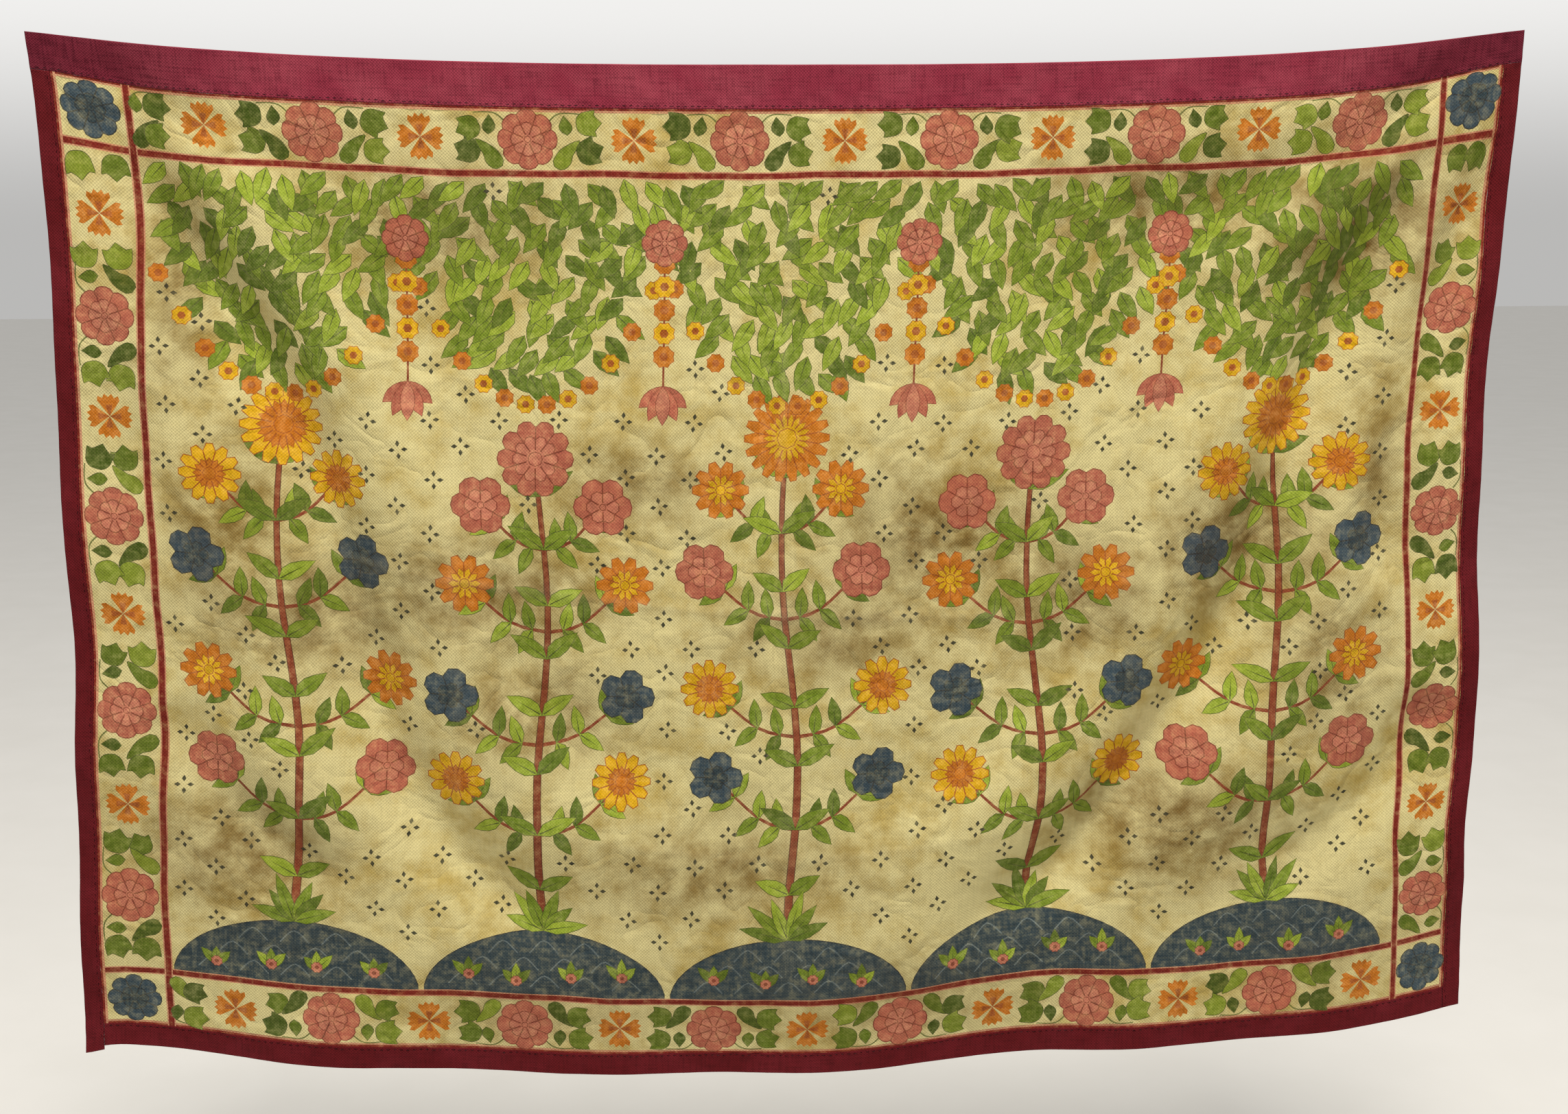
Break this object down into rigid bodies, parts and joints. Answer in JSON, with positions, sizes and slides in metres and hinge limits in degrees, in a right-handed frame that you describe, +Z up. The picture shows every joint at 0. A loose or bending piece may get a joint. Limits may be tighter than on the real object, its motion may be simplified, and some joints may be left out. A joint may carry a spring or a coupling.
{
  "type": "painted cloth hanging with sewn border strips",
  "caption": "Painted cotton wall hanging with plain crimson border strips, hung by its top corners so that the sheet sags into soft swag folds.",
  "frame": {"origin": "middle of the top edge, halfway through the cloth", "axes": "+Z up, +X to the right as the painted face is seen, painted face along -Y"},
  "size_m": [1.6523, 0.0723, 1.2125],
  "materials": {
    "painted_cotton": "matte",
    "crimson_cotton": "matte"
  },
  "bodies": {
    "root": {"painted_cloth": "painted_cotton", "top_strip": "crimson_cotton", "left_strip": "crimson_cotton", "right_strip": "crimson_cotton", "bottom_strip": "crimson_cotton"}
  },
  "joints": []
}
